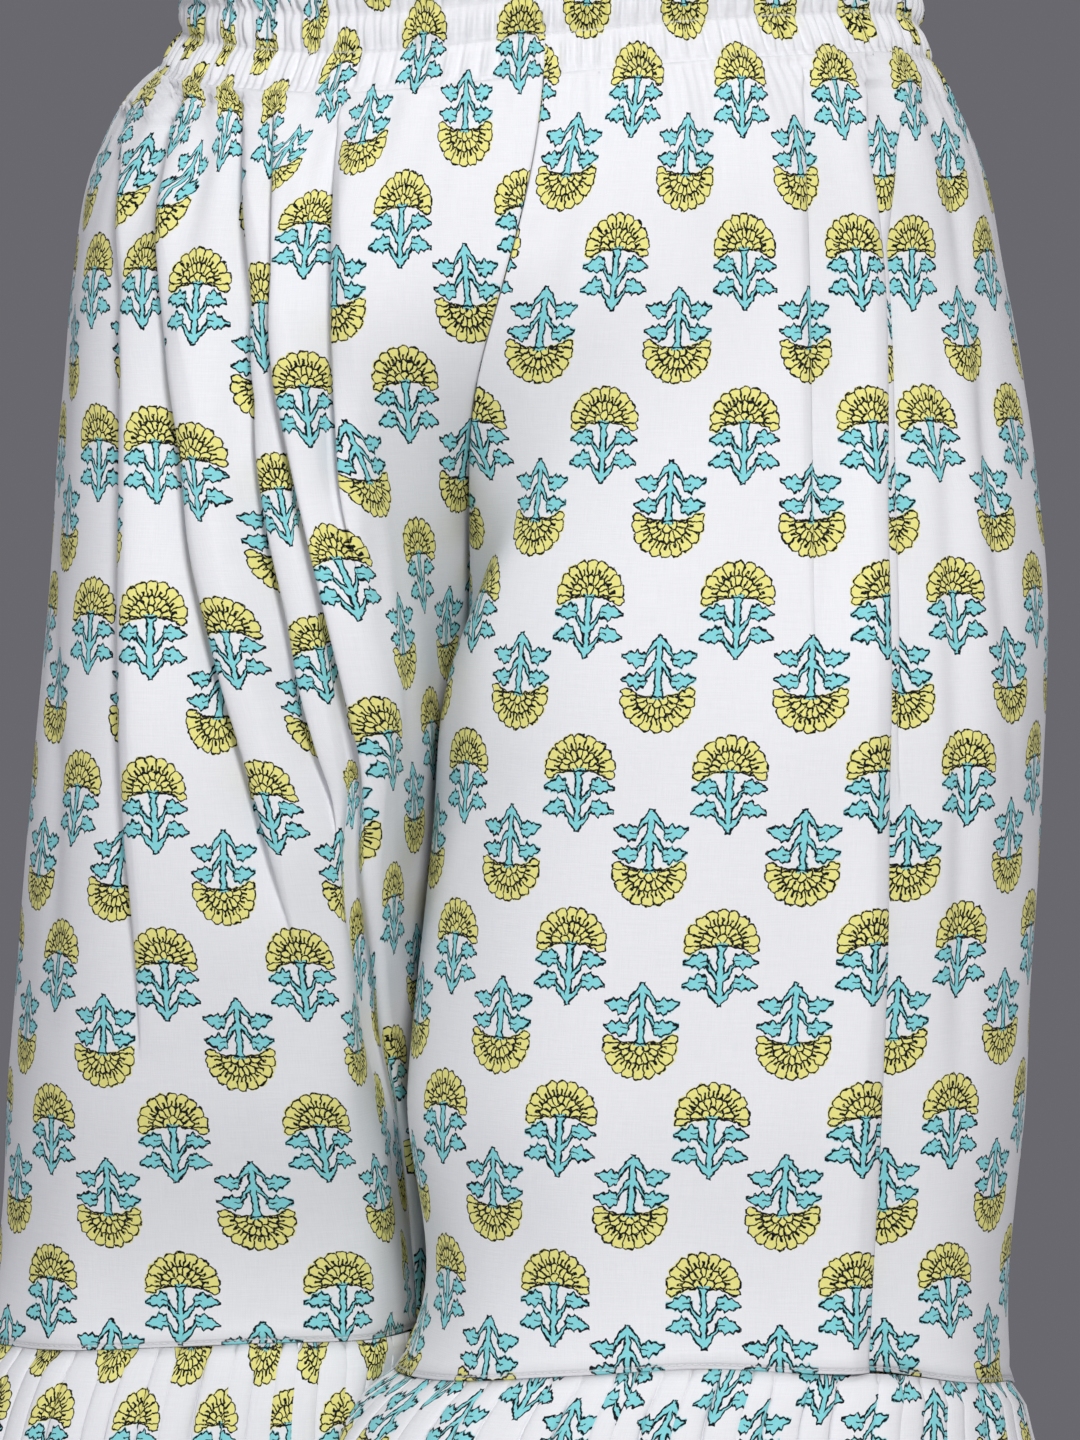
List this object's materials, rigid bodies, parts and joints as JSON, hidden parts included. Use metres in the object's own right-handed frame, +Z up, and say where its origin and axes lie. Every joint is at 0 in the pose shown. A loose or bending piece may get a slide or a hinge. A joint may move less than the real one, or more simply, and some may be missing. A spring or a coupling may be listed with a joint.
{
  "type": "sharara trousers",
  "caption": "Sharara trousers as worn: printed white cotton, gathered elastic waist casing, wide legs and a gathered flounce from each knee.",
  "frame": {"origin": "centre of the waist opening, at half the height of the elastic casing", "axes": "+Z up through the waist opening, -Y towards the garment's front, +X towards the wearer's left leg"},
  "size_m": [0.5553, 0.4576, 0.9705],
  "materials": {
    "cotton_print": "matt"
  },
  "bodies": {
    "root": {"waist_casing": "cotton_print", "front_panel_left": "cotton_print", "front_panel_right": "cotton_print", "back_panel_left": "cotton_print", "back_panel_right": "cotton_print", "flounce_front_left": "cotton_print", "flounce_front_right": "cotton_print", "flounce_back_left": "cotton_print", "flounce_back_right": "cotton_print"}
  },
  "joints": []
}
